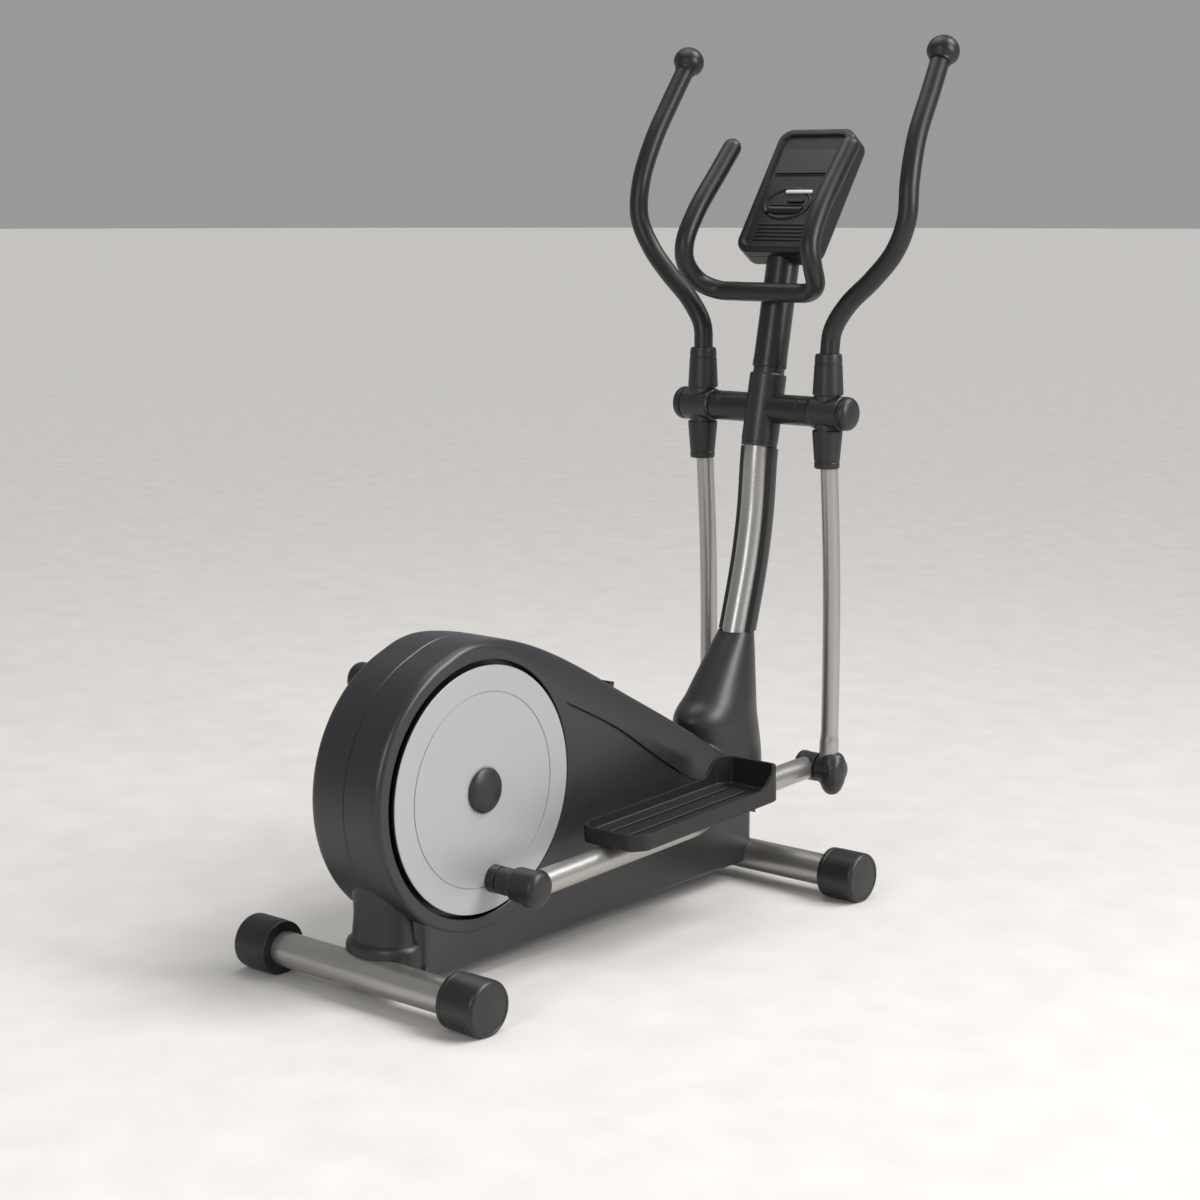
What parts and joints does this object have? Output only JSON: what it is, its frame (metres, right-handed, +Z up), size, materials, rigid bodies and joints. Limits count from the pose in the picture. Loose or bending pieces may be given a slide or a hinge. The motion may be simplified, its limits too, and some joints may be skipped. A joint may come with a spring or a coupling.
{
  "type": "elliptical trainer",
  "caption": "Rear-drive elliptical cross trainer with an enclosed drum, swing arms, footplates, fixed grips and a console.",
  "frame": {"origin": "on the floor, under the middle of the bounding box", "axes": "+Z up from the floor, +Y forwards from the crank towards the console, +X the user's right"},
  "size_m": [0.6744, 1.3744, 1.6108],
  "materials": {
    "frame_black": "semi-gloss black powder coat",
    "tube_silver": "satin silver metallic paint",
    "body_plastic": "satin dark charcoal moulding",
    "matte_plastic": "fine-grained black moulding",
    "tread_plastic": "grained black, ribbed tread",
    "disc_silver": "satin silver paint on a moulded disc",
    "grip_foam": "closed-cell black foam",
    "console_plastic": "glossy dark grey moulding",
    "button_plastic": "light grey moulding",
    "display_lens": "clear window over a grey-green display",
    "axle_steel": "ground steel",
    "cast_iron": "machined and coated iron",
    "belt_rubber": "ribbed rubber belt"
  },
  "bodies": {
    "root": {"main_frame": "frame_black", "rear_stabilizer_tube": "tube_silver", "front_stabilizer_tube": "tube_silver", "rear_right_foot_cap": "matte_plastic", "rear_left_foot_cap": "matte_plastic", "front_right_foot_cap": "matte_plastic", "front_left_foot_cap": "matte_plastic", "right_shroud_shell": "body_plastic", "left_shroud_shell": "body_plastic", "mast_shroud": "body_plastic", "rear_foot_bracket": "matte_plastic", "lower_mast_tube": "tube_silver", "mast_trim": "body_plastic", "mast_collar": "body_plastic", "upper_mast_tube": "frame_black", "cross_axle": "frame_black", "right_axle_cap": "matte_plastic", "left_axle_cap": "matte_plastic", "fixed_handlebar": "grip_foam", "console_front_shell": "console_plastic", "console_rear_shell": "console_plastic", "display_lens": "display_lens", "drive_belt": "belt_rubber"},
    "crank": {"crank_axle": "axle_steel", "drive_pulley": "matte_plastic", "right_crank_arm": "frame_black", "left_crank_arm": "frame_black", "right_crank_disc": "disc_silver", "left_crank_disc": "disc_silver", "right_hub_cap": "matte_plastic", "left_hub_cap": "matte_plastic"},
    "flywheel": {"flywheel": "cast_iron", "flywheel_axle": "axle_steel"},
    "idler": {"idler_wheel": "matte_plastic"},
    "brake": {"brake_bracket": "cast_iron"},
    "start_button": {"start_button": "button_plastic"},
    "mode_button": {"mode_button": "button_plastic"},
    "control_roller": {"control_roller": "console_plastic"},
    "right_arm": {"right_arm_hub": "body_plastic", "right_upper_sleeve": "matte_plastic", "right_lower_sleeve": "matte_plastic", "right_arm_tube": "tube_silver", "right_arm_grip": "grip_foam", "right_grip_knob": "grip_foam", "right_arm_joint": "body_plastic"},
    "right_pedal": {"right_pedal_knuckle": "matte_plastic", "right_pedal_tube": "tube_silver", "right_pedal_eye": "body_plastic", "right_footplate": "tread_plastic"},
    "left_arm": {"left_arm_hub": "body_plastic", "left_upper_sleeve": "matte_plastic", "left_lower_sleeve": "matte_plastic", "left_arm_tube": "tube_silver", "left_arm_grip": "grip_foam", "left_grip_knob": "grip_foam", "left_arm_joint": "body_plastic"},
    "left_pedal": {"left_pedal_knuckle": "matte_plastic", "left_pedal_tube": "tube_silver", "left_pedal_eye": "body_plastic", "left_footplate": "tread_plastic"}
  },
  "joints": [
    {"name": "crank_spin", "type": "hinge", "parent": "root", "child": "crank", "pos_m": [0, -0.43968, 0.331], "axis": [1, 0, 0], "continuous": true},
    {"name": "flywheel_spin", "type": "hinge", "parent": "root", "child": "flywheel", "pos_m": [0, -0.07968, 0.235], "axis": [1, 0, 0], "continuous": true},
    {"name": "idler_spin", "type": "hinge", "parent": "root", "child": "idler", "pos_m": [0, -0.23968, 0.188], "axis": [1, 0, 0], "continuous": true},
    {"name": "brake_swing", "type": "hinge", "parent": "root", "child": "brake", "pos_m": [0, -0.03168, 0.098], "axis": [1, 0, 0], "range_deg": [-6, 0], "stiffness_Nm_per_rad": 40, "springref_deg": 1.15},
    {"name": "right_arm_swing", "type": "hinge", "parent": "root", "child": "right_arm", "pos_m": [0.15, 0.46332, 0.905], "axis": [1, 0, 0], "range_deg": [-15, 11]},
    {"name": "left_arm_swing", "type": "hinge", "parent": "root", "child": "left_arm", "pos_m": [-0.15, 0.46332, 0.905], "axis": [1, 0, 0], "range_deg": [-11, 15]},
    {"name": "right_pedal_tilt", "type": "hinge", "parent": "right_arm", "child": "right_pedal", "pos_m": [0.107, 0.48632, 0.2], "axis": [1, 0, 0], "range_deg": [-11, 15]},
    {"name": "left_pedal_tilt", "type": "hinge", "parent": "left_arm", "child": "left_pedal", "pos_m": [-0.107, 0.48632, 0.2], "axis": [1, 0, 0], "range_deg": [-15, 11]},
    {"name": "start_press", "type": "slide", "parent": "root", "child": "start_button", "axis": [0, 0.8241, -0.5664], "range_m": [0, 0.0015], "stiffness_N_per_m": 400},
    {"name": "mode_press", "type": "slide", "parent": "root", "child": "mode_button", "axis": [0, 0.8241, -0.5664], "range_m": [0, 0.0015], "stiffness_N_per_m": 400},
    {"name": "roller_turn", "type": "hinge", "parent": "root", "child": "control_roller", "pos_m": [-0.008, 0.53809, 1.28386], "axis": [1, 0, 0], "continuous": true}
  ],
  "couplings": [
    {"joint": "flywheel_spin", "follows": "crank_spin", "ratio": 6.485},
    {"joint": "idler_spin", "follows": "crank_spin", "ratio": -8.1062},
    {"joint": "left_arm_swing", "follows": "right_arm_swing", "ratio": -1},
    {"joint": "right_pedal_tilt", "follows": "right_arm_swing", "ratio": -1},
    {"joint": "left_pedal_tilt", "follows": "right_arm_swing", "ratio": 1}
  ]
}
